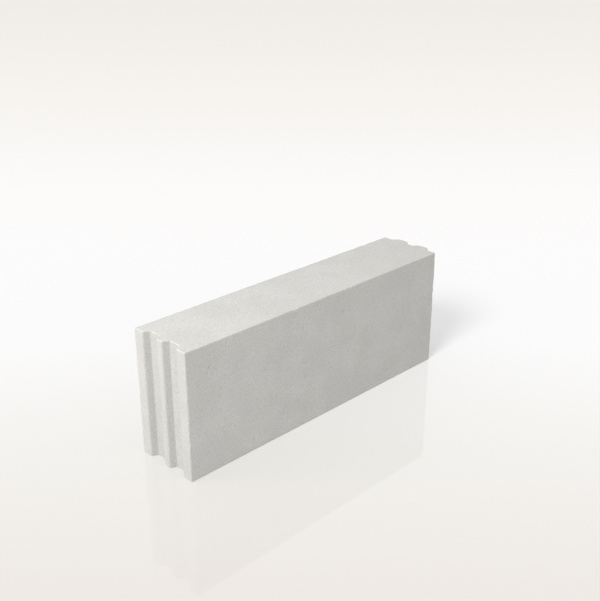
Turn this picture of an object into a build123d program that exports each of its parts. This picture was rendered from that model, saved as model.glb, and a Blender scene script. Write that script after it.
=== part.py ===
# Tongue-and-groove wall block of autoclaved aerated concrete, cut from one cake as one solid.
#
# Frame: +X runs along the wall towards the tongued end, +Y through the wall, +Z up.
# The origin is the centre of the lower bed face, halfway between the two end lands.
# All sizes are in millimetres.
import os
from math import atan2, degrees

from build123d import *

# Course module of the block
laying_length = 600.0  # from land to land, without the tongues
course_height = 225.0
wall_thickness = 125.0

# Upright joint of the two ends: grooves at -X, tongues at +X
joint_count = 2
joint_pitch = 48.5  # from the middle of one groove to the middle of the next
groove_mouth = 36.0  # width where the flanks meet the land
groove_floor = 24.0
groove_depth = 11.0
mouth_radius = 4.0  # rounding of the land into the groove
floor_radius = 2.0  # rounding of the flank into the groove's floor

# Play that lets the tongues of one block enter the grooves of the next
flank_clearance = 0.5  # across the wall, on each side of a tongue
crown_clearance = 0.5  # along the wall, between a tongue's crown and the groove's floor

# Arrises left by the cutting wires and eased by handling
corner_radius = 1.5  # the four upright corners
bed_radius = 1.2  # the edges around the two bed faces

# A tongue is the groove drawn in by its clearances, so both have flanks of one slope
flank_run = (groove_mouth - groove_floor) / 2
flank_angle = degrees(atan2(groove_depth, flank_run))
tongue_root = groove_mouth - 2 * flank_clearance
tongue_height = groove_depth - crown_clearance
root_radius = mouth_radius
crown_radius = floor_radius + crown_clearance

land_x = laying_length / 2

with BuildPart() as block:
    # Plan: the module's rectangle, less the grooves at one end, plus the tongues at the other
    with BuildSketch() as plan:
        Rectangle(laying_length, wall_thickness)
        with Locations((-land_x, 0)):
            with GridLocations(0, joint_pitch, 1, joint_count):
                Trapezoid(
                    groove_mouth,
                    groove_depth,
                    flank_angle,
                    rotation=-90,
                    align=(Align.CENTER, Align.MIN),
                    mode=Mode.SUBTRACT,
                )
        with Locations((land_x, 0)):
            with GridLocations(0, joint_pitch, 1, joint_count):
                Trapezoid(
                    tongue_root,
                    tongue_height,
                    flank_angle,
                    rotation=-90,
                    align=(Align.CENTER, Align.MIN),
                )

        # Columns of corners from the grooved end to the tongued end. A land's first and last
        # corners are the outer ones of the block, and the rest belong to the joint.
        fillet(plan.vertices().group_by(Axis.X)[1], floor_radius)
        fillet(plan.vertices().group_by(Axis.X)[0].sort_by(Axis.Y)[1:-1], mouth_radius)
        fillet(plan.vertices().group_by(Axis.X)[-2].sort_by(Axis.Y)[1:-1], root_radius)
        fillet(plan.vertices().group_by(Axis.X)[-1], crown_radius)
        outer_corners = plan.vertices().group_by(Axis.Y)
        fillet(outer_corners[0] + outer_corners[-1], corner_radius)
    extrude(amount=course_height)

    # The wire leaves a sharp edge round each bed face, and handling wears it
    bed_faces = block.faces().filter_by(Axis.Z)
    fillet(bed_faces.edges(), bed_radius)

block.part.label = "block"

os.makedirs("parts", exist_ok=True)
export_step(block.part, "parts/block.step")
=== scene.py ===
"""Looks of a tongue-and-groove wall block of autoclaved aerated concrete.

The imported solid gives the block's place and overall size. A finer skin stands for it here: the same
plan outline, with crumbled arrises and cut-open pores as real shapes, and a chalky concrete finish.
All lengths are in metres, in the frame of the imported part: +X along the wall, +Z up.
"""
import logging
import math
from collections.abc import Callable
from dataclasses import dataclass, field
from enum import Enum

import bpy
import numpy as np
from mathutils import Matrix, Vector, kdtree, noise
from mathutils.geometry import delaunay_2d_cdt


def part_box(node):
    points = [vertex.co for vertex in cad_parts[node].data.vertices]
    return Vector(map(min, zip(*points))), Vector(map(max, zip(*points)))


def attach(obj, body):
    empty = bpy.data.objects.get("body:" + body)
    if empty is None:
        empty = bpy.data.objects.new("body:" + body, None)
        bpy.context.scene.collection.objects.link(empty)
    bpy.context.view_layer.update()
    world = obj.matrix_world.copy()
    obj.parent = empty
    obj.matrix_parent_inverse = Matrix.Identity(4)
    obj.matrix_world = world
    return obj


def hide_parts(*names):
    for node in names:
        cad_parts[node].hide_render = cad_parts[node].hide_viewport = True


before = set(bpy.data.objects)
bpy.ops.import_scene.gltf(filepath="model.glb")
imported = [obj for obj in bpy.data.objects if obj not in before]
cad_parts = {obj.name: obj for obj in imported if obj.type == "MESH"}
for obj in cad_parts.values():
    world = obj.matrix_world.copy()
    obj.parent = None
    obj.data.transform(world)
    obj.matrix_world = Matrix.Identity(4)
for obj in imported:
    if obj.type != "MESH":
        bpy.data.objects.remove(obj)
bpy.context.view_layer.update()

MM = 0.001
NODE = "block"
BODY = "root"
IMAGE_WIDTH, IMAGE_HEIGHT = 600, 601
DIAGONAL = math.sqrt(2)
LOG = logging.getLogger("aerated_block")

Pair = tuple[float, float]
Tree = bpy.types.NodeTree
Socket = bpy.types.NodeSocket


def linear(hex_code: str) -> tuple[float, float, float, float]:
    """Turns an sRGB hex colour into a linear one.

    Args:
        hex_code: six hex digits, with or without a leading hash.

    Returns:
        Linear red, green and blue with an alpha of 1.
    """
    digits = hex_code.lstrip("#")
    shares = [int(digits[i : i + 2], 16) / 255 for i in (0, 2, 4)]
    red, green, blue = (c / 12.92 if c <= 0.04045 else ((c + 0.055) / 1.055) ** 2.4 for c in shares)
    return red, green, blue, 1.0


def add_node(
    tree: Tree, kind: str, settings: dict | None = None, links: dict | None = None
) -> bpy.types.Node:
    """Adds one node to a tree with its settings and its links.

    Args:
        tree: the node tree that gets the node.
        kind: the node's type name.
        settings: node attributes by name, and input values by socket name or index.
        links: output sockets that feed this node's inputs, by socket name or index.

    Returns:
        The new node.
    """
    node = tree.nodes.new(kind)
    for name, value in (settings or {}).items():
        if isinstance(name, str) and hasattr(node, name):
            setattr(node, name, value)
        else:
            node.inputs[name].default_value = value
    for name, source in (links or {}).items():
        tree.links.new(source, node.inputs[name])
    return node


def start_tree(owner: bpy.types.Material | bpy.types.World) -> Tree:
    """Gives a material or a world an empty node tree.

    Args:
        owner: what gets the tree.

    Returns:
        The tree, without the nodes that a new one has.
    """
    owner.use_nodes = True
    owner.node_tree.nodes.clear()
    return owner.node_tree


def place_object(name: str, data: bpy.types.ID) -> bpy.types.Object:
    """Puts a new object into the scene.

    Args:
        name: its name.
        data: its mesh, light or camera.

    Returns:
        The object.
    """
    obj = bpy.data.objects.new(name, data)
    bpy.context.collection.objects.link(obj)
    return obj


class Edge(Enum):
    """The upright edges of the block, by what made them."""

    OUTER_CORNER = "outer corner"
    GROOVE_MOUTH = "groove mouth"
    GROOVE_FLOOR = "groove floor"
    TONGUE_ROOT = "tongue root"
    TONGUE_CROWN = "tongue crown"


ALL_EDGES = tuple(Edge)
CONVEX_EDGES = (Edge.OUTER_CORNER, Edge.GROOVE_MOUTH, Edge.TONGUE_CROWN)


class Stretch(Enum):
    """The stretches of the skin, which are laid out apart."""

    WALL = "wall"
    LOWER_BED = "lower bed"
    UPPER_BED = "upper bed"


@dataclass(frozen=True)
class Corner:
    """A corner of the plan with the radius that rounds it. With no edge it is a plain point of a straight."""

    x: float
    y: float
    radius: float = 0.0
    edge: Edge | None = None

    def place(self) -> np.ndarray:
        """Where it stands in plan."""
        return np.array([self.x, self.y])


@dataclass(frozen=True)
class Run:
    """One straight or arc of the outline. A turn of 0 is a straight, and a positive one bends to the left."""

    start: float
    length: float
    origin: np.ndarray
    heading: float
    turn: float = 0.0
    edge: Edge | None = None

    def end(self) -> float:
        """Where the run ends along the outline."""
        return self.start + self.length

    def is_flank(self) -> bool:
        """Whether it slants, as only the flanks do: other straights run along the wall or across it."""
        return self.turn == 0 and abs(math.sin(2 * self.heading)) > 0.1

    def sample(self, along: np.ndarray) -> tuple[np.ndarray, np.ndarray]:
        """Finds points of the run and their outward normals.

        Args:
            along: distances from the outline's start, all within this run.

        Returns:
            Plan places and outward unit normals, one row for each distance.
        """
        gone = along - self.start
        heading = self.heading + self.turn * gone / self.length
        outward = np.column_stack([np.sin(heading), -np.cos(heading)])
        if self.turn == 0:
            ahead = np.array([math.cos(self.heading), math.sin(self.heading)])
            return self.origin + gone[:, None] * ahead, outward
        radius = self.length / self.turn
        inward = np.array([-math.sin(self.heading), math.cos(self.heading)])
        return self.origin + radius * (inward + outward), outward


@dataclass(frozen=True)
class JointProfile:
    """Upright tongue-and-groove joint of the block's ends, in the sizes of the solid."""

    count: int = 2
    pitch: float = 48.5 * MM
    groove_mouth: float = 36.0 * MM
    groove_floor: float = 24.0 * MM
    groove_depth: float = 11.0 * MM
    mouth_radius: float = 4.0 * MM
    floor_radius: float = 2.0 * MM
    flank_clearance: float = 0.5 * MM
    crown_clearance: float = 0.5 * MM

    def middles(self) -> list[float]:
        """Places of the grooves or tongues across the wall, from front to back."""
        return [self.pitch * (i - (self.count - 1) / 2) for i in range(self.count)]

    def tongue_height(self) -> float:
        """How far a tongue stands out from its land."""
        return self.groove_depth - self.crown_clearance

    def grooves(self, land: float) -> list[Corner]:
        """Finds the corners of the grooves, from the back of the wall to its front.

        Args:
            land: x of the grooved end's land.

        Returns:
            Four corners for each groove.
        """
        floor = land + self.groove_depth
        corners = []
        for middle in reversed(self.middles()):
            corners += [
                Corner(land, middle + self.groove_mouth / 2, self.mouth_radius, Edge.GROOVE_MOUTH),
                Corner(floor, middle + self.groove_floor / 2, self.floor_radius, Edge.GROOVE_FLOOR),
                Corner(floor, middle - self.groove_floor / 2, self.floor_radius, Edge.GROOVE_FLOOR),
                Corner(land, middle - self.groove_mouth / 2, self.mouth_radius, Edge.GROOVE_MOUTH),
            ]
        return corners

    def tongues(self, land: float) -> list[Corner]:
        """Finds the corners of the tongues, from the front of the wall to its back.

        Args:
            land: x of the tongued end's land.

        Returns:
            Four corners for each tongue.
        """
        crown = land + self.tongue_height()
        slope = (self.groove_mouth - self.groove_floor) / 2 / self.groove_depth
        half_root = self.groove_mouth / 2 - self.flank_clearance
        half_crown = half_root - slope * self.tongue_height()
        crown_radius = self.floor_radius + self.crown_clearance
        corners = []
        for middle in self.middles():
            corners += [
                Corner(land, middle - half_root, self.mouth_radius, Edge.TONGUE_ROOT),
                Corner(crown, middle - half_crown, crown_radius, Edge.TONGUE_CROWN),
                Corner(crown, middle + half_crown, crown_radius, Edge.TONGUE_CROWN),
                Corner(land, middle + half_root, self.mouth_radius, Edge.TONGUE_ROOT),
            ]
        return corners


@dataclass
class Outline:
    """Closed plan outline of the block, walked anticlockwise from the middle of its back face."""

    low: Vector
    high: Vector
    joint: JointProfile
    corner_radius: float = 1.5 * MM
    runs: list[Run] = field(init=False, default_factory=list)
    length: float = field(init=False, default=0.0)

    def __post_init__(self) -> None:
        """Rounds the corners and joins them with straights."""
        corners = self.corners()
        places = [corner.place() for corner in corners]
        count = len(corners)
        steps = [places[(i + 1) % count] - places[i] for i in range(count)]
        turns = [self._turn(steps[i - 1], steps[i]) for i in range(count)]
        reaches = [c.radius * math.tan(abs(t) / 2) for c, t in zip(corners, turns)]
        for i, corner in enumerate(corners):
            size = float(np.hypot(*steps[i]))
            heading = math.atan2(steps[i][1], steps[i][0])
            if corner.edge:
                before = steps[i - 1] / np.hypot(*steps[i - 1])
                origin = places[i] - before * reaches[i]
                arc = corner.radius * abs(turns[i])
                self._add(Run(self.length, arc, origin, heading - turns[i], turns[i], corner.edge))
            origin = places[i] + steps[i] / size * reaches[i]
            self._add(Run(self.length, size - reaches[i] - reaches[(i + 1) % count], origin, heading))

    def corners(self) -> list[Corner]:
        """Lists the plan's corners.

        Returns:
            The plain point of the back face that the outline starts from, then the corners in their order.
        """
        back, front = self.high.y, self.low.y
        grooved, tongued = self.low.x, self.high.x - self.joint.tongue_height()
        radius = self.corner_radius
        return [
            Corner(0.0, back),
            Corner(grooved, back, radius, Edge.OUTER_CORNER),
            *self.joint.grooves(grooved),
            Corner(grooved, front, radius, Edge.OUTER_CORNER),
            Corner(tongued, front, radius, Edge.OUTER_CORNER),
            *self.joint.tongues(tongued),
            Corner(tongued, back, radius, Edge.OUTER_CORNER),
        ]

    @staticmethod
    def _turn(before: np.ndarray, after: np.ndarray) -> float:
        """Angle from one step to the next, positive to the left."""
        return math.atan2(before[0] * after[1] - before[1] * after[0], float(before @ after))

    def _add(self, run: Run) -> None:
        """Adds a run at the end of the outline."""
        self.runs.append(run)
        self.length += run.length

    def sample(self, along: np.ndarray) -> tuple[np.ndarray, np.ndarray]:
        """Finds points of the outline and their outward normals.

        Args:
            along: distances from the start, from 0 to the outline's length.

        Returns:
            Plan places and outward unit normals, one row for each distance.
        """
        places, normals = np.zeros((len(along), 2)), np.zeros((len(along), 2))
        starts = [run.start for run in self.runs]
        which = np.clip(np.searchsorted(starts, along, side="right") - 1, 0, len(self.runs) - 1)
        for i, run in enumerate(self.runs):
            here = which == i
            places[here], normals[here] = run.sample(along[here])
        return places, normals

    def nearest(self, along: np.ndarray, edges: tuple[Edge, ...]) -> np.ndarray:
        """Distance along the outline to the nearest rounding of some kinds, and 0 on it."""
        return self._gap(along, [run for run in self.runs if run.edge in edges])

    def flank(self, along: np.ndarray) -> np.ndarray:
        """Distance along the outline to the nearest flank of a groove or tongue, and 0 on it."""
        return self._gap(along, [run for run in self.runs if run.is_flank()])

    def _gap(self, along: np.ndarray, runs: list[Run]) -> np.ndarray:
        """Measures along the outline to the nearest of some runs.

        Args:
            along: distances from the start.
            runs: the runs that count.

        Returns:
            For each distance, how far off the nearest such run is, and 0 on it.
        """
        gap = np.full(len(along), self.length)
        for run in runs:
            gap = np.minimum(gap, np.maximum(0.0, np.maximum(run.start - along, along - run.end())))
        return gap


@dataclass(frozen=True)
class PoreSize:
    """One band of the pores that the cutting wire cut open, as rings of points that sink into a face."""

    per_square_metre: float
    least_radius: float
    most_radius: float
    rings: tuple[tuple[int, float, float], ...]  # points, share of the radius, share of the depth

    def radius(self, pick: float) -> float:
        """Radius for a random pick from 0 to 1, small ones being commoner."""
        return self.least_radius + (self.most_radius - self.least_radius) * pick**2


@dataclass(frozen=True)
class PoreField:
    """Opened pores scattered over a flat stretch of the skin.

    The gas bubbles of the cake are 0.5 to 3 mm across. The larger ones are cut as real pits and the rest
    are left to the finish.
    """

    large: PoreSize = PoreSize(1000, 0.45 * MM, 0.7 * MM, ((8, 1.0, 0.0), (6, 0.6, 0.8), (1, 0.0, 1.0)))
    small: PoreSize = PoreSize(6500, 0.35 * MM, 0.55 * MM, ((6, 1.0, 0.0), (1, 0.0, 1.0)))
    depth_share: float = 0.3  # of the radius
    ragged: Pair = (0.88, 1.12)  # least and most of the radius at a point of a ring
    wall_between: float = 0.6 * MM

    def scatter(
        self, low: Pair, high: Pair, fits: Callable[[np.ndarray], np.ndarray], rng: np.random.Generator
    ) -> tuple[np.ndarray, np.ndarray, np.ndarray]:
        """Places the pores and lists the points of their rings.

        Args:
            low: lowest corner of the stretch, in its own two directions.
            high: highest corner of the stretch.
            fits: gives, for rows of place and radius, which pores keep clear of the edges.
            rng: source of the random picks.

        Returns:
            Rows of place and radius of each pore, then the places of the rings' points and their depths.
        """
        area = (high[0] - low[0]) * (high[1] - low[1])
        kept, points, depths = [], [], []
        grid: dict[tuple[int, int], list[tuple[float, float, float]]] = {}
        cell = 2 * self.large.most_radius + self.wall_between
        around = [(i, j) for i in (-1, 0, 1) for j in (-1, 0, 1)]
        for size in (self.large, self.small):
            rows = np.array([
                (rng.uniform(low[0], high[0]), rng.uniform(low[1], high[1]), size.radius(rng.random()))
                for _ in range(int(size.per_square_metre * area))
            ]).reshape(-1, 3)
            for u, v, radius in rows[fits(rows)]:
                column, row = int(u / cell), int(v / cell)
                near = [pore for i, j in around for pore in grid.get((column + i, row + j), ())]
                if any(math.hypot(u - p[0], v - p[1]) < radius + p[2] + self.wall_between for p in near):
                    continue
                grid.setdefault((column, row), []).append((u, v, radius))
                kept.append((u, v, radius))
                spin = rng.uniform(0, math.tau)
                for count, reach, sink in size.rings:
                    for k in range(count):
                        angle = spin + math.tau * k / count
                        stretch = reach * radius * rng.uniform(*self.ragged)
                        points.append((u + stretch * math.cos(angle), v + stretch * math.sin(angle)))
                        depths.append(sink * self.depth_share * radius)
        return np.array(kept).reshape(-1, 3), np.array(points).reshape(-1, 2), np.array(depths)


@dataclass(frozen=True)
class Wear:
    """How far handling has crumbled an arris and what it looks like there, with a painted highlight on its
    arrises and painted shade in the joint.
    """

    least: float = 0.1 * MM
    most: float = 1.1 * MM
    rarity: float = 3.0  # the higher, the fewer stretches are worn to the full
    wavelength: float = 18.0 * MM
    contrast: float = 0.9  # how fully the noise runs from the least to the most
    octaves: tuple[float, float, int] = (1.0, 2.0, 3)  # the noise's fall-off, ratio and number of them
    notch_depth: float = 0.45 * MM
    notch_length: float = 5.0 * MM
    notch_from: float = 0.2  # notches are where the noise is above this
    grit_depth: float = 0.1 * MM
    grit_size: float = 2.2 * MM
    grit_from: float = 0.05 * MM  # an arris worn by less than this has lost no grains
    sharpness: float = 1.5
    felt: float = 4.0  # how far behind an arris the wear is felt, in greatest depths
    corner_felt: float = 6.0  # and how far from an upright corner
    mouth_depth: float = 0.2 * MM
    mouth_reach: float = 1.0 * MM
    crown_depth: float = 0.8 * MM  # the tongues stand out, so they take the knocks
    crown_reach: float = 3.0 * MM
    blunt_least: float = 0.5  # least share of those depths
    blunt_felt: float = 3.0  # how far the blunting is felt, in reaches
    rubbed_and_highlit: float = 1.15 * MM  # how far behind a sharp arris the skin shows lighter worn grain and the painted highlight
    rub_and_highlight_elsewhere: float = 0.45  # the grooved end, which faces the lamps, is lightened the most, with worn grain and painted highlight; other arrises by this share of it
    rub_and_highlight_least: float = 0.7  # share of the lighter worn look and painted highlight where nothing has crumbled
    rubbed_gain: float = 0.6  # what is added to it where the arris has crumbled the most
    groove_shade_reach: float = 1.2 * MM  # how far the painted shade of the flanks runs out beyond them
    groove_shade_floor: float = 0.35  # painted shade on the grooves' floors, as a share of that on their flanks
    end_facing: float = 0.3  # how squarely the grooved end's arrises face that way, at the least
    floor_facing: float = 0.9  # and the same for a groove's floor
    floor_depth: float = 2.0 * MM  # a floor lies deeper than this behind the end's land

    def depths(self, places: np.ndarray) -> np.ndarray:
        """Works out how deep the arris has crumbled.

        Args:
            places: rows of x, y and z on the arris.

        Returns:
            The depth at each place.
        """
        found = []
        for place in places:
            point = Vector(place)
            swell = noise.fractal(point / self.wavelength, *self.octaves)
            share = min(1.0, max(0.0, 0.5 + self.contrast * swell))
            notch = max(0.0, noise.noise(point / self.notch_length) - self.notch_from)
            worn = self.least + (self.most - self.least) * share**self.rarity
            found.append(worn + self.notch_depth * notch)
        return np.array(found)

    def grit(self, places: np.ndarray) -> np.ndarray:
        """Depth of the grains lost at each place."""
        return np.array([self.grit_depth * (0.5 + noise.noise(Vector(p) / self.grit_size)) for p in places])

    def falloff(self, depth: np.ndarray, reach: np.ndarray | float) -> np.ndarray:
        """Share of the wear that is left at a depth behind the sharp arris."""
        return np.exp(-((depth / reach) ** self.sharpness))

    def rub_and_highlight(self, depth: np.ndarray) -> np.ndarray:
        """How far the block is lightened by worn grain and painted highlight at a depth behind the sharp
        arris, from 0 to 1.
        """
        return np.exp(-((np.maximum(0.0, depth) / self.rubbed_and_highlit) ** 2))


@dataclass
class Patch:
    """Vertices of one stretch of the skin before wear, with their places on the unfolded surface."""

    places: np.ndarray
    normals: np.ndarray
    sinks: np.ndarray
    unfolded: np.ndarray


@dataclass
class WornSkin:
    """Vertices of the whole skin while they are worn, with the nearest point of the outline to each."""

    places: np.ndarray  # before the wear
    normals: np.ndarray
    foot: np.ndarray  # the outline's point
    outward: np.ndarray  # its normal
    along: np.ndarray  # its distance from the outline's start
    inset: np.ndarray  # how far inside it the vertex lies
    moved: np.ndarray  # places after the wear
    worn: np.ndarray  # how much has gone
    bare_and_highlight: np.ndarray  # how far it is lightened by worn grain and painted highlight, from 0 to 1

    def sink(self, near: np.ndarray, ahead: np.ndarray, depth: np.ndarray) -> None:
        """Moves some vertices back by a depth."""
        self.moved[near] -= ahead * depth[:, None]
        self.worn[near] += depth

    def rub_and_highlight(self, near: np.ndarray, share: np.ndarray) -> None:
        """Lightens some vertices with worn grain and painted highlight, where they aren't lighter yet."""
        self.bare_and_highlight[near] = np.maximum(self.bare_and_highlight[near], share)


@dataclass
class BlockSkin:
    """The block's whole visible surface as one closed mesh."""

    outline: Outline
    low: Vector
    high: Vector
    bed_radius: float = 1.2 * MM
    arris_rings: int = 4
    row_step: float = 1.8 * MM
    edge_rows: Pair = (1.3 * MM, 3.2 * MM)  # how far the rows beside an edge stand from it
    row_slack: float = 0.1 * MM  # how much nearer to the outline a point of such a row may come
    row_gap: float = 1.2  # where it stops short of a rounding, in shares of the first distance
    arc_step: float = 0.6 * MM
    column_step: float = 2.0 * MM  # along the convex upright edges
    fill_step: float = 6.0 * MM
    fill_jitter: float = 0.3  # of a step
    fill_gap: float = 2.0 * MM  # from the rows and columns beside the edges
    pit_gap: float = 1.0 * MM  # from the rim of a pore
    pore_rim: float = 1.15  # how far a ragged pore reaches, in radii
    pore_gap: float = 0.4 * MM  # from the rows and columns beside the edges
    dense_step: float = 0.5 * MM  # between the outline's points that others are measured from
    chart_margin: float = 12.0 * MM
    pores: PoreField = PoreField()
    wear: Wear = Wear()
    seed: int = 41
    rng: np.random.Generator = field(init=False)
    wall_foot: float = field(init=False)  # height where the lower bed's rounding ends
    wall_head: float = field(init=False)  # height where the upper bed's rounding begins
    stations: np.ndarray = field(init=False)
    dense_along: np.ndarray = field(init=False)
    dense: np.ndarray = field(init=False)
    dense_normals: np.ndarray = field(init=False)
    tree: kdtree.KDTree = field(init=False)

    def __post_init__(self) -> None:
        """Prepares the stations of the outline and its dense samples."""
        self.rng = np.random.default_rng(self.seed)
        self.wall_foot = self.low.z + self.bed_radius
        self.wall_head = self.high.z - self.bed_radius
        self.stations = self._stations()
        count = int(self.outline.length / self.dense_step)
        self.dense_along = np.linspace(0.0, self.outline.length, count, endpoint=False)
        self.dense, self.dense_normals = self.outline.sample(self.dense_along)
        self.tree = self._tree(self.dense)

    @staticmethod
    def _tree(points: np.ndarray) -> kdtree.KDTree:
        """Sorts flat points into a search tree.

        Args:
            points: rows of two coordinates.

        Returns:
            The tree, which answers with row numbers.
        """
        tree = kdtree.KDTree(len(points))
        for i, (u, v) in enumerate(points):
            tree.insert((u, v, 0.0), i)
        tree.balance()
        return tree

    def _marks(self, run: Run) -> list[float]:
        """Divides a run into its even steps.

        Args:
            run: a straight or an arc.

        Returns:
            Distances along the outline, from the run's start to its end.
        """
        step = self.arc_step if run.edge in CONVEX_EDGES else self.row_step
        count = max(2, math.ceil(run.length / step))
        return [run.start + run.length * i / count for i in range(count + 1)]

    def _stations(self) -> np.ndarray:
        """Distances along the outline where the arris has its points."""
        return np.array([0.0, *[mark for run in self.outline.runs for mark in self._marks(run)[1:]]])

    def _levels(self, step: float) -> np.ndarray:
        """Divides an upright column between the two bed arrises.

        Args:
            step: wanted distance between the points.

        Returns:
            The points' heights.
        """
        near, far = self.edge_rows
        foot, head = self.wall_foot, self.wall_head
        inner = np.linspace(foot + far, head - far, round((head - foot) / step))
        return np.concatenate([[foot + near], inner, [head - near]])

    def _columns(self) -> tuple[list[float], np.ndarray]:
        """Lists the upright columns at the roundings and beside them.

        Returns:
            The columns' distances along the outline, and the points of all of them.
        """
        marks, points = [], []
        for run in self.outline.runs:
            if not run.edge:
                continue
            convex = run.edge in CONVEX_EDGES
            sides = self.edge_rows if convex else self.edge_rows[:1]
            here = self._marks(run)
            here += [run.start - side for side in sides] + [run.end() + side for side in sides]
            levels = self._levels(self.column_step if convex else self.fill_step)
            points += [(mark, z) for mark in here for z in levels]
            marks += here
        return marks, np.array(points)

    def _fill(self, low: Pair, high: Pair) -> np.ndarray:
        """Lays a jittered grid of points over a rectangle.

        Args:
            low: lowest corner of the rectangle.
            high: highest corner of the rectangle.

        Returns:
            Rows of two coordinates.
        """
        counts = [max(1, round((b - a) / self.fill_step)) for a, b in zip(low, high)]
        u, v = np.meshgrid(*[(np.arange(n) + 0.5) / n for n in counts])
        jitter = self.rng.uniform(-self.fill_jitter, self.fill_jitter, (u.size, 2)) / counts
        share = np.column_stack([u.ravel(), v.ravel()]) + jitter
        return np.array(low) + share * (np.array(high) - np.array(low))

    def _clear(self, points: np.ndarray, pits: np.ndarray) -> np.ndarray:
        """Keeps the points that are clear of the pores.

        Args:
            points: rows of two coordinates.
            pits: rows of place and radius.

        Returns:
            The rows that are kept.
        """
        tree = self._tree(pits[:, :2])
        reach = pits[:, 2].max() + self.pit_gap
        kept = [
            point for point in points
            if all(d > pits[i, 2] + self.pit_gap for _, i, d in tree.find_range((*point, 0.0), reach))
        ]
        return np.array(kept).reshape(-1, 2)

    def _keep_off(self, pores: np.ndarray) -> np.ndarray:
        """Least distance of each pore's middle from the rows beside an edge."""
        return pores[:, 2] * self.pore_rim + self.pore_gap

    @staticmethod
    def _triangles(points: np.ndarray, rim: int = 0) -> list[list[int]]:
        """Joins points of a flat stretch into triangles.

        Args:
            points: rows of two coordinates in metres.
            rim: how many of the first points form a closed rim. With 0 the stretch is the points' hull.

        Returns:
            Anticlockwise triangles of point numbers.
        """
        flat = [Vector((u / MM, v / MM)) for u, v in points]
        edges = [(i, (i + 1) % rim) for i in range(rim)]
        vertices, _, faces, origins, _, _ = delaunay_2d_cdt(flat, edges, [], 0, 1e-5, True)
        if len(vertices) != len(flat):
            raise ValueError(f"{len(flat)} points became {len(vertices)}")
        named = [[origins[i][0] for i in face] for face in faces]
        # A triangle between points of the rim lies inside it when it goes round the same way
        return [f for f in named if max(f) >= rim or sum(f[k - 1] < f[k] for k in range(3)) == 2]

    @staticmethod
    def _at(flat: np.ndarray, height: float) -> np.ndarray:
        """Places or directions of the unfolded wall or the plan, with one height added to each."""
        return np.column_stack([flat, np.full(len(flat), height)])

    def _wall(self) -> tuple[Patch, list[list[int]]]:
        """Builds the upright faces, unfolded from the outline's start.

        Returns:
            Its vertices, which begin with the row under each bed arris and the two sides of the seam, and
            its triangles.
        """
        stations, length = self.stations, self.outline.length
        near, far = self.edge_rows
        foot, head = self.wall_foot, self.wall_head
        rims = [self._at(stations, z) for z in (foot, head)]
        levels = self._levels(self.fill_step)
        seam = [np.column_stack([np.full(len(levels), mark), levels]) for mark in (0.0, length)]
        marks, columns = self._columns()
        apart = self.outline.nearest(stations, ALL_EDGES) > near * self.row_gap
        straights = stations[apart & (stations > self.row_step) & (stations < length - self.row_step)]
        rows = [self._at(straights, z) for z in (foot + near, head - near)]

        def fits(pores: np.ndarray) -> np.ndarray:
            """Tells which pores are clear of the roundings, the seam and the bed arrises.

            Args:
                pores: rows of place and radius.

            Returns:
                A mask over the rows.
            """
            along, height = pores[:, 0], pores[:, 1]
            gaps = [
                self.outline.nearest(along, CONVEX_EDGES) - far,
                self.outline.nearest(along, ALL_EDGES) - near,
                np.minimum(along, length - along),
                np.minimum(height - foot, head - height) - near,
            ]
            return np.minimum.reduce(gaps) > self._keep_off(pores)

        pits, rings, sinks = self.pores.scatter((0.0, foot), (length, head), fits, self.rng)
        fill = self._fill((0.0, foot + far), (length, head - far))
        fill = fill[np.abs(fill[:, :1] - np.array([0.0, *marks, length])).min(axis=1) > self.fill_gap]
        flat = np.concatenate([*rims, *seam, columns, *rows, self._clear(fill, pits), rings])
        depth = np.concatenate([np.zeros(len(flat) - len(rings)), sinks])
        plan, normals = self.outline.sample(np.clip(flat[:, 0], 0.0, length))
        places = np.column_stack([plan, flat[:, 1]])
        return Patch(places, self._at(normals, 0.0), depth, flat), self._triangles(flat)

    def _arris(self, top: bool) -> Patch:
        """Rounds one bed arris beyond the wall's own row.

        Args:
            top: whether it is the upper one.

        Returns:
            The vertices of its rings, from the wall to the cap.
        """
        side = 1.0 if top else -1.0
        level = self.wall_head if top else self.wall_foot
        plan, normals = self.outline.sample(self.stations)
        places, outward, unfolded = [], [], []
        for ring in range(1, self.arris_rings + 1):
            tilt = math.pi / 2 * ring / self.arris_rings
            inset = self.bed_radius * (1 - math.cos(tilt))
            height = level + side * self.bed_radius * math.sin(tilt)
            places.append(self._at(plan - normals * inset, height))
            outward.append(self._at(normals * math.cos(tilt), side * math.sin(tilt)))
            unfolded.append(self._at(self.stations, level + side * self.bed_radius * tilt))
        sinks = np.zeros(len(plan) * self.arris_rings)
        return Patch(np.concatenate(places), np.concatenate(outward), sinks, np.concatenate(unfolded))

    def _inset(self, points: np.ndarray) -> np.ndarray:
        """Measures how far plan points lie inside the outline.

        Args:
            points: rows of two coordinates.

        Returns:
            The distance of each, negative outside.
        """
        found = [self.tree.find((x, y, 0.0)) for x, y in points]
        nearest = np.array([i for _, i, _ in found], dtype=int)
        distance = np.array([d for _, _, d in found])
        ahead = ((points - self.dense[nearest]) * self.dense_normals[nearest]).sum(axis=1)
        return np.where(ahead < 0, distance, -distance)

    def _cap(self, rim: np.ndarray, top: bool) -> tuple[Patch, list[list[int]]]:
        """Fills one bed face inside its arris.

        Args:
            rim: plan places of the arris's last ring, anticlockwise.
            top: whether this is the upper bed face.

        Returns:
            The vertices inside the rim, and triangles whose lower numbers are the rim's.
        """
        low, high = (self.low.x, self.low.y), (self.high.x, self.high.y)
        stations = self.stations[:-1]
        plan, normals = self.outline.sample(stations[self.outline.nearest(stations, CONVEX_EDGES) > 0])
        reach = self.bed_radius + self.edge_rows[0]
        row = plan - normals * reach
        row = row[self._inset(row) > reach - self.row_slack]

        def fits(pores: np.ndarray) -> np.ndarray:
            """Mask of the pores that are clear of the arris."""
            return self._inset(pores[:, :2]) > reach + self._keep_off(pores)

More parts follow.
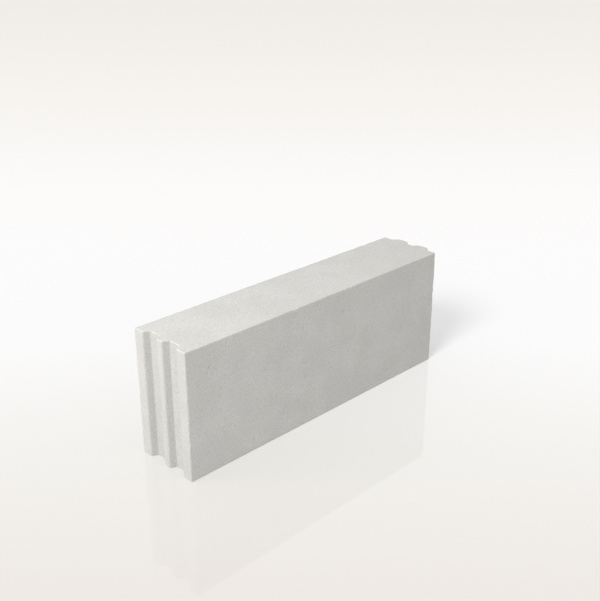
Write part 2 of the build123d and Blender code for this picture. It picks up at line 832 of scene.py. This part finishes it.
        pits, rings, sinks = self.pores.scatter(low, high, fits, self.rng)
        fill = self._fill(low, high)
        fill = self._clear(fill[self._inset(fill) > reach + self.fill_gap], pits)
        inside = np.concatenate([row, fill, rings])
        depth = np.concatenate([np.zeros(len(row) + len(fill)), sinks])
        triangles = self._triangles(np.concatenate([rim, inside]), len(rim))
        if not top:
            triangles = [face[::-1] for face in triangles]
        places = self._at(inside, self.high.z if top else self.low.z)
        return Patch(places, self._at(0 * inside, 1.0 if top else -1.0), depth, inside), triangles

    def _plain(self, patch: Patch) -> WornSkin:
        """Prepares the skin for its wear, with the pores sunk.

        Args:
            patch: all vertices.

        Returns:
            The skin, as yet unworn.
        """
        places = patch.places
        nearest = np.array([self.tree.find((x, y, 0.0))[1] for x, y, _ in places])
        foot, outward, along = self.dense[nearest], self.dense_normals[nearest], self.dense_along[nearest]
        inset = np.maximum(0.0, -((places[:, :2] - foot) * outward).sum(axis=1))
        moved = places - patch.normals * patch.sinks[:, None]
        worn, bare_and_highlight = np.zeros(len(places)), np.zeros(len(places))
        return WornSkin(places, patch.normals, foot, outward, along, inset, moved, worn, bare_and_highlight)

    def _crumble_beds(self, skin: WornSkin) -> None:
        """Crumbles the arrises around both bed faces, and lightens them with worn grain and painted
        highlight, most at the grooved end, which faces the lamps.

        Args:
            skin: what gets worn.
        """
        wear = self.wear
        for level, side in ((self.high.z, 1.0), (self.low.z, -1.0)):
            behind = (side * (level - skin.places[:, 2]) + skin.inset) / DIAGONAL
            near = np.flatnonzero(behind < wear.felt * wear.most)
            reach = wear.depths(self._at(skin.foot[near], level))
            ahead = self._at(skin.outward[near], side) / DIAGONAL
            skin.sink(near, ahead, reach * wear.falloff(behind[near], reach))
            # Painted highlight: arrises that face -X, towards the lamps, are lightened in full, the others by
            # a share
            share = np.where(skin.outward[near, 0] < -wear.end_facing, 1.0, wear.rub_and_highlight_elsewhere)
            skin.rub_and_highlight(near, wear.rub_and_highlight(behind[near]) * share)

    def _crumble_corners(self, skin: WornSkin) -> None:
        """Crumbles the four upright outer corners.

        Args:
            skin: what gets worn.
        """
        wear = self.wear
        for corner in self.outline.corners():
            if corner.edge is not Edge.OUTER_CORNER:
                continue
            place = corner.place()
            ahead = np.sign(place)
            behind = ((place - skin.places[:, :2]) * ahead).sum(axis=1) / DIAGONAL
            close = np.abs(skin.places[:, :2] - place).max(axis=1) < wear.corner_felt * wear.most
            near = np.flatnonzero(close & (behind < wear.felt * wear.most))
            reach = wear.depths(np.column_stack([np.tile(place, (len(near), 1)), skin.places[near, 2]]))
            depth = reach * wear.falloff(np.maximum(0.0, behind[near]), reach)
            # Where a bed arris has taken the corner off, less of it is left to wear
            depth *= np.maximum(0.0, 1 - skin.worn[near] / wear.most)
            skin.sink(near, np.array([*ahead, 0.0]) / DIAGONAL, depth)
            skin.rub_and_highlight(near, wear.rub_and_highlight(behind[near]) * wear.rub_and_highlight_elsewhere)

    def _blunt_joint(self, skin: WornSkin) -> None:
        """Blunts the mouths of the grooves and the crowns of the tongues.

        Args:
            skin: what gets worn.
        """
        wear = self.wear
        for edge, most, reach in (
            (Edge.GROOVE_MOUTH, wear.mouth_depth, wear.mouth_reach),
            (Edge.TONGUE_CROWN, wear.crown_depth, wear.crown_reach),
        ):
            behind = self.outline.nearest(skin.along, (edge,)) + skin.inset
            near = np.flatnonzero(behind < wear.blunt_felt * reach)
            swell = wear.depths(np.column_stack([skin.foot[near], skin.places[near, 2]])) / wear.most
            depth = most * np.minimum(1.0, wear.blunt_least + swell) * wear.falloff(behind[near], reach)
            skin.sink(near, skin.normals[near], depth)

    def _weathered(self, patch: Patch) -> WornSkin:
        """Wears the skin as handling does, and works out where it is lightened by worn grain and painted
        highlight.

        Args:
            patch: all vertices.

        Returns:
            The worn skin.
        """
        wear, skin = self.wear, self._plain(patch)
        self._crumble_beds(skin)
        self._crumble_corners(skin)
        self._blunt_joint(skin)
        near = np.flatnonzero(skin.worn > wear.grit_from)
        share = np.minimum(1.0, skin.worn[near] / wear.least)
        skin.moved[near] -= skin.normals[near] * (wear.grit(skin.places[near]) * share)[:, None]
        gain = wear.rub_and_highlight_least + wear.rubbed_gain * skin.worn / wear.most
        skin.bare_and_highlight = np.clip(skin.bare_and_highlight * gain, 0.0, 1.0)
        return skin

    def _groove_shade(self, skin: WornSkin) -> np.ndarray:
        """Works out how much painted shade the joint gets.

        Args:
            skin: the skin's vertices.

        Returns:
            From 0 to 1 for each vertex, in full on the flanks and in part on the grooves' floors.
        """
        wear = self.wear
        flank = np.maximum(0.0, 1 - (self.outline.flank(skin.along) + skin.inset) / wear.groove_shade_reach)
        sunk = skin.foot[:, 0] > self.low.x + wear.floor_depth
        floor = sunk & (skin.outward[:, 0] < -wear.floor_facing)
        near = np.maximum(0.0, 1 - skin.inset / wear.groove_shade_reach)
        return np.maximum(flank, floor * wear.groove_shade_floor * near)

    def _charts(self, unfolded: np.ndarray, faces: list[list[int]], kinds: list[Stretch]) -> np.ndarray:
        """Lays the unfolded skin out in a square as four charts, for finishes that are baked.

        Args:
            unfolded: each vertex's place on the unfolded wall or in plan.
            faces: all faces, before the seam is closed.
            kinds: for each face, the stretch that it belongs to.

        Returns:
            One texture place for each corner of each face.
        """
        half = self.outline.length / 2
        tall = self.high.z - self.low.z + self.chart_margin + 2 * self.bed_radius
        wide = self.high.y - self.low.y + self.chart_margin
        square = max(half, self.high.x - self.low.x, 2 * (tall + wide)) + 2 * self.chart_margin
        beds = {Stretch.LOWER_BED: 2 * tall, Stretch.UPPER_BED: 2 * tall + wide}
        corners = []
        for face, kind in zip(faces, kinds):
            spots = unfolded[face]
            if kind in beds:
                shift = (-self.low.x, -self.low.y + beds[kind])
            elif spots[:, 0].mean() < half:
                shift = (0.0, -self.low.z)
            else:
                shift = (-half, -self.low.z + tall)
            corners.append((spots + shift + self.chart_margin) / square)
        return np.concatenate(corners)

    def build(self, name: str) -> bpy.types.Object:
        """Makes the mesh object.

        Args:
            name: the piece's name.

        Returns:
            The object, linked to the scene, with its wear, painted highlight and painted shade as attributes
            and a texture layout.
        """
        wall, faces = self._wall()
        patches, kinds, count = [wall], [Stretch.WALL] * len(faces), len(self.stations)
        size = len(wall.places)
        # The outline's last points are its first ones again, in each row and along the seam
        twins = {count - 1: 0, 2 * count - 1: count}
        seam = len(self._levels(self.fill_step))
        twins.update({2 * count + seam + i: 2 * count + i for i in range(seam)})
        for top in (False, True):
            arris = self._arris(top)
            first = count if top else 0
            rows = [list(range(first, first + count))]
            rows += [list(range(size + r * count, size + (r + 1) * count)) for r in range(self.arris_rings)]
            twins.update({row[-1]: row[0] for row in rows[1:]})
            for inner, outer in zip(rows, rows[1:]):
                below, above = (inner, outer) if top else (outer, inner)
                faces += [[below[i], below[i + 1], above[i + 1], above[i]] for i in range(count - 1)]
            kinds += [Stretch.WALL] * (len(faces) - len(kinds))
            size += len(arris.places)
            rim_places = arris.places[-count:-1]
            cap, triangles = self._cap(rim_places[:, :2], top)
            rim = Patch(rim_places, arris.normals[-count:-1], np.zeros(count - 1), rim_places[:, :2])
            patches += [arris, rim, cap]
            twins.update({size + i: rows[-1][i] for i in range(count - 1)})
            faces += [[size + i for i in face] for face in triangles]
            kinds += [Stretch.UPPER_BED if top else Stretch.LOWER_BED] * (len(faces) - len(kinds))
            size += len(rim.places) + len(cap.places)
        parts = ("places", "normals", "sinks", "unfolded")
        joined = Patch(*[np.concatenate([getattr(patch, part) for patch in patches]) for part in parts])
        return self._mesh(name, joined, faces, twins, self._charts(joined.unfolded, faces, kinds))

    def _mesh(
        self, name: str, patch: Patch, faces: list[list[int]], twins: dict[int, int], charts: np.ndarray
    ) -> bpy.types.Object:
        """Turns vertices and faces into an object, with doubled vertices made one.

        Args:
            name: the piece's name.
            patch: all vertices.
            faces: faces by vertex number.
            twins: vertices that stand at the same place as another, by number.
            charts: one texture place for each face corner.

        Returns:
            The object, linked to the scene.
        """
        kept = np.array([i for i in range(len(patch.places)) if i not in twins])
        number = np.full(len(patch.places), -1)
        number[kept] = np.arange(len(kept))
        for twin, first in twins.items():
            number[twin] = number[first]
        single = Patch(patch.places[kept], patch.normals[kept], patch.sinks[kept], patch.unfolded[kept])
        worn = self._weathered(single)
        mesh = bpy.data.meshes.new(name)
        mesh.from_pydata(worn.moved.tolist(), [], [number[face].tolist() for face in faces])
        mesh.shade_smooth()
        layer = mesh.uv_layers.new(name="OFBake")
        layer.uv.foreach_set("vector", charts.astype(np.float32).ravel())
        for label, values in (("bare_and_highlight", worn.bare_and_highlight), ("groove_shade", self._groove_shade(worn))):
            attribute = mesh.attributes.new(label, "FLOAT", "POINT")
            attribute.data.foreach_set("value", values.astype(np.float32))
        return place_object(name, mesh)

    @staticmethod
    def dress(skin: bpy.types.Object, finish: bpy.types.Material) -> None:
        """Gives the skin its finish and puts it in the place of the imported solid.

        Args:
            skin: the mesh object.
            finish: its material.
        """
        skin.data.materials.append(finish)
        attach(skin, BODY)
        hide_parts(NODE)


@dataclass(frozen=True)
class SawnAeratedConcrete:
    """Autoclaved aerated concrete as the cutting wire leaves it.

    Chalky and fully matt: the eye gets an even pale warm grey, broken by fine open pores and by soft clouds
    where the cake was denser. Arrises are a little lighter, from worn grain and from painted highlight, most
    on the grooved end that faces the lamps. The joint's flanks and groove floors are a little darker with
    painted shade.
    """

    body: str = "DCDBD7"
    cloud: str = "D7D6D2"
    # Dark tone of the grain's mottle and of the pores, also the painted shade on the joint's flanks and
    # groove floors
    pore: str = "BDBCB7"
    # Lighter tone of worn grain, also the painted highlight on the arrises, most on those facing the lamps
    grains_and_highlight: str = "EFEEE9"
    roughness: float = 0.95
    spread: float = 0.6  # how evenly the light that comes back is thrown around
    refraction: float = 1.5
    cloud_size: float = 60.0 * MM
    # Real grains are 0.1 mm and most real pores 0.5 to 1 mm, but a pixel of the picture covers 1.8 mm. So the
    # grain is drawn as a mottle and the pores about twice as wide, as coarse as they need to be to show.
    grain_size: float = 2.4 * MM
    pore_spacing: float = 2.8 * MM
    pore_radius: float = 0.75 * MM
    pore_floor: float = 0.3  # share of a pore's radius that is as deep as its middle
    pore_relief: float = -0.35  # against the grain's height
    relief_depth: float = 0.5 * MM
    relief_share: float = 0.5
    groove_shade_share: float = 0.3  # how much painted shade the joint's flanks get, mixed towards the pore tone
    # Where each pattern begins and ends to show
    cloud_range: Pair = (0.4, 0.6)
    bare_and_highlight_range: Pair = (0.15, 0.75)
    grain_range: Pair = (0.42, 0.78)

    def build(self, name: str) -> bpy.types.Material:
        """Makes the finish.

        Args:
            name: the material's name.

        Returns:
            The node material.
        """
        material = bpy.data.materials.new(name)
        tree = start_tree(material)
        place = {"Vector": add_node(tree, "ShaderNodeTexCoord").outputs["Object"]}
        clouds = add_node(tree, "ShaderNodeTexNoise", {"Scale": 1 / self.cloud_size, "Detail": 3.0}, place)
        fine = {"Scale": 1 / self.grain_size, "Detail": 5.0, "Roughness": 0.7}
        grain = add_node(tree, "ShaderNodeTexNoise", fine, place)
        apart = {"Scale": 1 / self.pore_spacing, "Randomness": 1.0}
        cells = add_node(tree, "ShaderNodeTexVoronoi", apart, place)
        # The attributes carry worn grain with painted highlight on the arrises, and painted shade in the
        # joint
        bare_and_highlight, groove_shade = (
            add_node(tree, "ShaderNodeAttribute", {"attribute_name": label}).outputs["Fac"]
            for label in ("bare_and_highlight", "groove_shade")
        )
        spreads = (
            (clouds.outputs["Fac"], self.cloud_range),
            (bare_and_highlight, self.bare_and_highlight_range),
            (grain.outputs["Fac"], self.grain_range),
        )
        cloudy, rubbed_and_highlit, grainy = (
            add_node(tree, "ShaderNodeMapRange", {"From Min": a, "From Max": b}, {"Value": fac}).outputs[0]
            for fac, (a, b) in spreads
        )
        # A pore is the middle of a cell, deepest at its centre
        rim = self.pore_radius / self.pore_spacing
        bowl = {"interpolation_type": "SMOOTHSTEP", "From Min": rim, "From Max": rim * self.pore_floor}
        hole = add_node(tree, "ShaderNodeMapRange", bowl, {"Value": cells.outputs["Distance"]}).outputs[0]
        # Painted shade: the joint's flanks and groove floors are mixed towards the pore tone, on top of the
        # grain's mottle
        more = {"operation": "MULTIPLY_ADD", 1: self.groove_shade_share, "use_clamp": True}
        mottle_and_groove_shade = add_node(tree, "ShaderNodeMath", more, {0: groove_shade, 2: grainy}).outputs[0]
        # Each colour lies on the one before it, and the first on the body
        blend, under = {"data_type": "RGBA", 6: linear(self.body)}, {}
        layers = ((self.cloud, cloudy), (self.grains_and_highlight, rubbed_and_highlit), (self.pore, mottle_and_groove_shade), (self.pore, hole))
        for over, share in layers:
            mix = add_node(tree, "ShaderNodeMix", {**blend, 7: linear(over)}, {**under, 0: share})
            under = {6: mix.outputs[2]}
        sunk = {"operation": "MULTIPLY_ADD", 1: self.pore_relief}
        relief = add_node(tree, "ShaderNodeMath", sunk, {0: hole, 2: grain.outputs["Fac"]}).outputs[0]
        depth = {"Strength": self.relief_share, "Distance": self.relief_depth}
        bump = add_node(tree, "ShaderNodeBump", depth, {"Height": relief})
        matt = {"Roughness": self.roughness, "IOR": self.refraction, "Diffuse Roughness": self.spread}
        face = {"Base Color": mix.outputs[2], "Normal": bump.outputs["Normal"]}
        shader = add_node(tree, "ShaderNodeBsdfPrincipled", matt, face)
        add_node(tree, "ShaderNodeOutputMaterial", {}, {"Surface": shader.outputs["BSDF"]})
        return material


@dataclass(frozen=True)
class Viewpoint:
    """The camera at the photograph's viewing angle."""

    place: Vector = Vector((-1.01728, -1.02143, 0.82077))
    azimuth: float = math.radians(45.10)  # of the line of sight, from +X towards +Y
    pitch: float = math.radians(23.338)  # downwards
    focal_pixels: float = 907.0
    sensor: float = 36.0
    sight_limit: float = 100.0

    def sight(self) -> Vector:
        """Direction of the line of sight."""
        flat = math.cos(self.pitch)
        return Vector((flat * math.cos(self.azimuth), flat * math.sin(self.azimuth), -math.sin(self.pitch)))

    def build(self) -> bpy.types.Object:
        """Makes the camera and gives it to the scene.

        Returns:
            The camera.
        """
        camera = bpy.data.cameras.new("camera")
        camera.sensor_width = self.sensor
        camera.lens = self.focal_pixels * self.sensor / max(IMAGE_WIDTH, IMAGE_HEIGHT)
        camera.clip_end = self.sight_limit
        obj = place_object("camera", camera)
        obj.location = self.place
        obj.rotation_euler = self.sight().to_track_quat("-Z", "Y").to_euler()
        bpy.context.scene.camera = obj
        return obj


@dataclass(frozen=True)
class Lamp:
    """A soft round lamp of the studio."""

    name: str
    place: Vector
    aim: Vector
    size: float
    power: float

    def axis(self) -> Vector:
        """Direction in which the lamp shines."""
        return (self.aim - self.place).normalized()

    def build(self) -> bpy.types.Object:
        """Makes the lamp.

        Returns:
            The lamp, which lights the block without being seen itself.
        """
        light = bpy.data.lights.new(self.name, "AREA")
        light.shape = "DISK"
        light.size = self.size
        light.energy = self.power
        lamp = place_object(self.name, light)
        lamp.location = self.place
        lamp.rotation_euler = self.axis().to_track_quat("-Z", "Y").to_euler()
        lamp.visible_camera = False
        lamp.visible_glossy = False
        return lamp


@dataclass(frozen=True)
class Studio:
    """Soft light: a key lamp high beyond the grooved end, a weak one close to it, and pale walls around."""

    key: Lamp = Lamp("key_lamp", Vector((-1.68, -0.5, 1.84)), Vector((0.0, 0.0, 0.1)), 0.9, 31.0)
    fill: Lamp = Lamp("end_lamp", Vector((-0.54, 0.13, 0.38)), Vector((-0.3, 0.0, 0.2)), 0.12, 0.12)
    surroundings: float = 0.58

    def build(self) -> None:
        """Makes the lamps and the world."""
        self.key.build()
        self.fill.build()
        world = bpy.data.worlds.new("studio")
        tree = start_tree(world)
        white = linear("FFFFFF")
        lit = add_node(tree, "ShaderNodeBackground", {"Color": white, "Strength": self.surroundings})
        shown = add_node(tree, "ShaderNodeBackground", {"Color": white})
        ray = add_node(tree, "ShaderNodeLightPath")
        seen = ray.outputs["Is Camera Ray"]
        for kind in ("Is Glossy Ray", "Is Transmission Ray"):
            rays = {0: seen, 1: ray.outputs[kind]}
            seen = add_node(tree, "ShaderNodeMath", {"operation": "MAXIMUM"}, rays).outputs[0]
        both = add_node(tree, "ShaderNodeMixShader", {}, {0: seen, 1: lit.outputs[0], 2: shown.outputs[0]})
        add_node(tree, "ShaderNodeOutputWorld", {}, {"Surface": both.outputs[0]})
        bpy.context.scene.world = world


@dataclass(frozen=True)
class StudioFloor:
    """Polished white sheet that the block stands on, with painted light: brighter in a band behind the block.

    The eye gets a pale floor with soft grey shadows, and a faint mirrored block where it looks along it.
    """

    half_size: float = 30.0
    glow: float = 0.2  # share of its look that comes from below
    bounce: str = "DEDEDD"  # what the block gets back from it
    sheen_refraction: float = 1.54
    sheen_roughness: float = 0.03
    # Distances from the camera's foot along its line of sight: the bands' ends, then each with its colour
    near: float = 0.9
    far: float = 9.0
    # Painted light: brightest from about 1.6 to 2.7 m out, dimmer towards the camera and far off
    bands: tuple[tuple[float, str], ...] = (
        (0.94, "F0EBE6"), (1.14, "F4F1ED"), (1.28, "F5F4F0"), (1.44, "F9F8F6"),
        (1.65, "FCFCFC"), (2.24, "FDFCFC"), (2.68, "FCFBFA"), (3.32, "F9F8F6"),
        (4.29, "F7F3EF"), (5.95, "F3EFEB"), (8.93, "F0ECE7"),
    )

    def build(self, viewpoint: Viewpoint, studio: Studio) -> bpy.types.Object:
        """Makes the floor.

        Args:
            viewpoint: the camera, whose line of sight the bands lie across.
            studio: the light that falls on the floor.

        Returns:
            The floor, which isn't part of the block.
        """
        mesh = bpy.data.meshes.new("studio_floor")
        size = self.half_size
        corners = [(-size, -size, 0), (size, -size, 0), (size, size, 0), (-size, size, 0)]
        mesh.from_pydata(corners, [], [(0, 1, 2, 3)])
        mesh.materials.append(self._finish(viewpoint, studio))
        return place_object("studio_floor", mesh)

    def _finish(self, viewpoint: Viewpoint, studio: Studio) -> bpy.types.Material:
        """Makes the sheet's finish. The camera sees its bands of painted light, and the block gets an even
        pale bounce.

        Args:
            viewpoint: the camera.
            studio: the light that falls on the floor.

        Returns:
            The node material.
        """
        material = bpy.data.materials.new("polished_white_sheet")
        tree = start_tree(material)
        place = add_node(tree, "ShaderNodeNewGeometry").outputs["Position"]
        bands = self._banded(tree, place, viewpoint)
        light = {1: self._lit(tree, place, studio)}
        even = add_node(tree, "ShaderNodeMath", {"operation": "DIVIDE", 0: 1 - self.glow}, light).outputs[0]
        shaded = add_node(tree, "ShaderNodeVectorMath", {"operation": "SCALE"}, {0: bands, "Scale": even})
        matt = add_node(tree, "ShaderNodeBsdfDiffuse", {}, {"Color": shaded.outputs[0]})
        glow = add_node(tree, "ShaderNodeEmission", {"Strength": self.glow}, {"Color": bands})
        sheet = add_node(tree, "ShaderNodeAddShader", {}, {0: matt.outputs[0], 1: glow.outputs[0]})
        mirror = {"Color": linear("FFFFFF"), "Roughness": self.sheen_roughness}
        gloss = add_node(tree, "ShaderNodeBsdfGlossy", mirror)
        fresnel = add_node(tree, "ShaderNodeFresnel", {"IOR": self.sheen_refraction})
        layers = {0: fresnel.outputs[0], 1: sheet.outputs[0], 2: gloss.outputs[0]}
        shown = add_node(tree, "ShaderNodeMixShader", {}, layers)
        pale = linear(self.bounce)
        rest = (*[c * (1 - self.glow) for c in pale[:3]], 1.0)
        dull = add_node(tree, "ShaderNodeBsdfDiffuse", {"Color": rest})
        below = add_node(tree, "ShaderNodeEmission", {"Color": pale, "Strength": self.glow})
        unseen = add_node(tree, "ShaderNodeAddShader", {}, {0: dull.outputs[0], 1: below.outputs[0]})
        ray = add_node(tree, "ShaderNodeLightPath")
        rays = {0: ray.outputs["Is Camera Ray"], 1: ray.outputs["Is Glossy Ray"]}
        seen = add_node(tree, "ShaderNodeMath", {"operation": "MAXIMUM"}, rays)
        sides = {0: seen.outputs[0], 1: unseen.outputs[0], 2: shown.outputs[0]}
        surface = add_node(tree, "ShaderNodeMixShader", {}, sides)
        add_node(tree, "ShaderNodeOutputMaterial", {}, {"Surface": surface.outputs[0]})
        return material

    def _banded(self, tree: Tree, place: Socket, viewpoint: Viewpoint) -> Socket:
        """Colours the sheet by its distance along the line of sight, as painted light.

        Args:
            tree: the floor's nodes.
            place: the point of the floor.
            viewpoint: the camera, whose foot the distance starts from.

        Returns:
            The colour of the bands at the point.
        """
        foot = (viewpoint.place.x, viewpoint.place.y, 0.0)
        ahead = (math.cos(viewpoint.azimuth), math.sin(viewpoint.azimuth), 0.0)
        gone = add_node(tree, "ShaderNodeVectorMath", {"operation": "SUBTRACT", 1: foot}, {0: place})
        onto = {"operation": "DOT_PRODUCT", 1: ahead}
        distance = add_node(tree, "ShaderNodeVectorMath", onto, {0: gone.outputs[0]})
        span = {"From Min": self.near, "From Max": self.far}
        along = add_node(tree, "ShaderNodeMapRange", span, {"Value": distance.outputs["Value"]})
        ramp = add_node(tree, "ShaderNodeValToRGB", {}, {"Fac": along.outputs["Result"]})
        self._colour(ramp.color_ramp, viewpoint.place.z)
        return ramp.outputs["Color"]

    @staticmethod
    def _lit(tree: Tree, place: Socket, studio: Studio) -> Socket:
        """Works out how brightly a white floor is lit where nothing shades it, so that its bands show evenly.

        Args:
            tree: the floor's nodes.
            place: the point of the floor.
            studio: the surroundings and the lamps.

        Returns:
            The brightness of a white matt floor at the point.
        """
        # The surroundings light it evenly, and each flat lamp by its power over pi squared, times its height,
        # times how squarely the point lies before it, over the fourth power of the distance
        parts = []
        for lamp in (studio.key, studio.fill):
            strength = lamp.axis() * (lamp.power * lamp.place.z / math.pi**2)
            spot = {"operation": "SUBTRACT", 1: tuple(lamp.place)}
            away = add_node(tree, "ShaderNodeVectorMath", spot, {0: place}).outputs[0]
            beam = {"operation": "DOT_PRODUCT", 1: strength}
            facing = add_node(tree, "ShaderNodeVectorMath", beam, {0: away})
            square = add_node(tree, "ShaderNodeVectorMath", {"operation": "DOT_PRODUCT"}, {0: away, 1: away})
            front = {0: facing.outputs["Value"]}
            ahead = add_node(tree, "ShaderNodeMath", {"operation": "MAXIMUM", 1: 0.0}, front).outputs[0]
            twice = {0: square.outputs["Value"]}
            fourth = add_node(tree, "ShaderNodeMath", {"operation": "POWER", 1: 2.0}, twice).outputs[0]
            part = add_node(tree, "ShaderNodeMath", {"operation": "DIVIDE"}, {0: ahead, 1: fourth})
            parts.append(part.outputs[0])
        lamps = add_node(tree, "ShaderNodeMath", {"operation": "ADD"}, {0: parts[0], 1: parts[1]}).outputs[0]
        around = {"operation": "ADD", 1: studio.surroundings}
        return add_node(tree, "ShaderNodeMath", around, {0: lamps}).outputs[0]

    def _mirrored(self, distance: float, height: float) -> float:
        """Share of the light that the sheet mirrors towards the camera.

        Args:
            distance: from the camera's foot to the point of the floor.
            height: of the camera.

        Returns:
            The Fresnel reflectance for that direction.
        """
        cosine = height / math.hypot(distance, height)
        bent = math.sqrt(self.sheen_refraction**2 - 1 + cosine**2)
        upright = (cosine - bent) / (cosine + bent)
        level = (bent - self.sheen_refraction**2 * cosine) / (bent + self.sheen_refraction**2 * cosine)
        return (upright**2 + level**2) / 2

    def _colour(self, ramp: bpy.types.ColorRamp, height: float) -> None:
        """Sets the ramp's stops so that the bands show as given under the mirrored white walls.

        Args:
            ramp: the colour ramp.
            height: of the camera.
        """
        stops = []
        for at, code in self.bands:
            mirrored = self._mirrored(at, height)
            color = [(c - mirrored) / (1 - mirrored) for c in linear(code)[:3]]
            stops.append(((at - self.near) / (self.far - self.near), (*color, 1.0)))
        for element, (at, color) in zip((ramp.elements[0], ramp.elements[1]), (stops[0], stops[-1])):
            element.position, element.color = at, color
        for at, color in stops[1:-1]:
            ramp.elements.new(at).color = color


def main() -> None:
    """Builds the block, its floor, its light and the camera."""
    low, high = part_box(NODE)
    block = BlockSkin(Outline(low, high, JointProfile()), low, high)
    skin = block.build("worn_block")
    block.dress(skin, SawnAeratedConcrete().build("sawn_aerated_concrete"))
    LOG.info("%s: %d vertices, %d faces", skin.name, len(skin.data.vertices), len(skin.data.polygons))

    viewpoint = Viewpoint()
    camera = viewpoint.build()
    LOG.info("%s: lens %.2f mm", camera.name, camera.data.lens)
    studio = Studio()
    studio.build()
    LOG.info("%s and %s over surroundings of %.2f", studio.key.name, studio.fill.name, studio.surroundings)
    floor = StudioFloor().build(viewpoint, studio)
    LOG.info("%s: %d face", floor.name, len(floor.data.polygons))
    bpy.context.scene.view_settings.view_transform = "Standard"


if __name__ == "__main__":
    logging.basicConfig(level=logging.INFO, format="%(name)s: %(message)s")
    main()
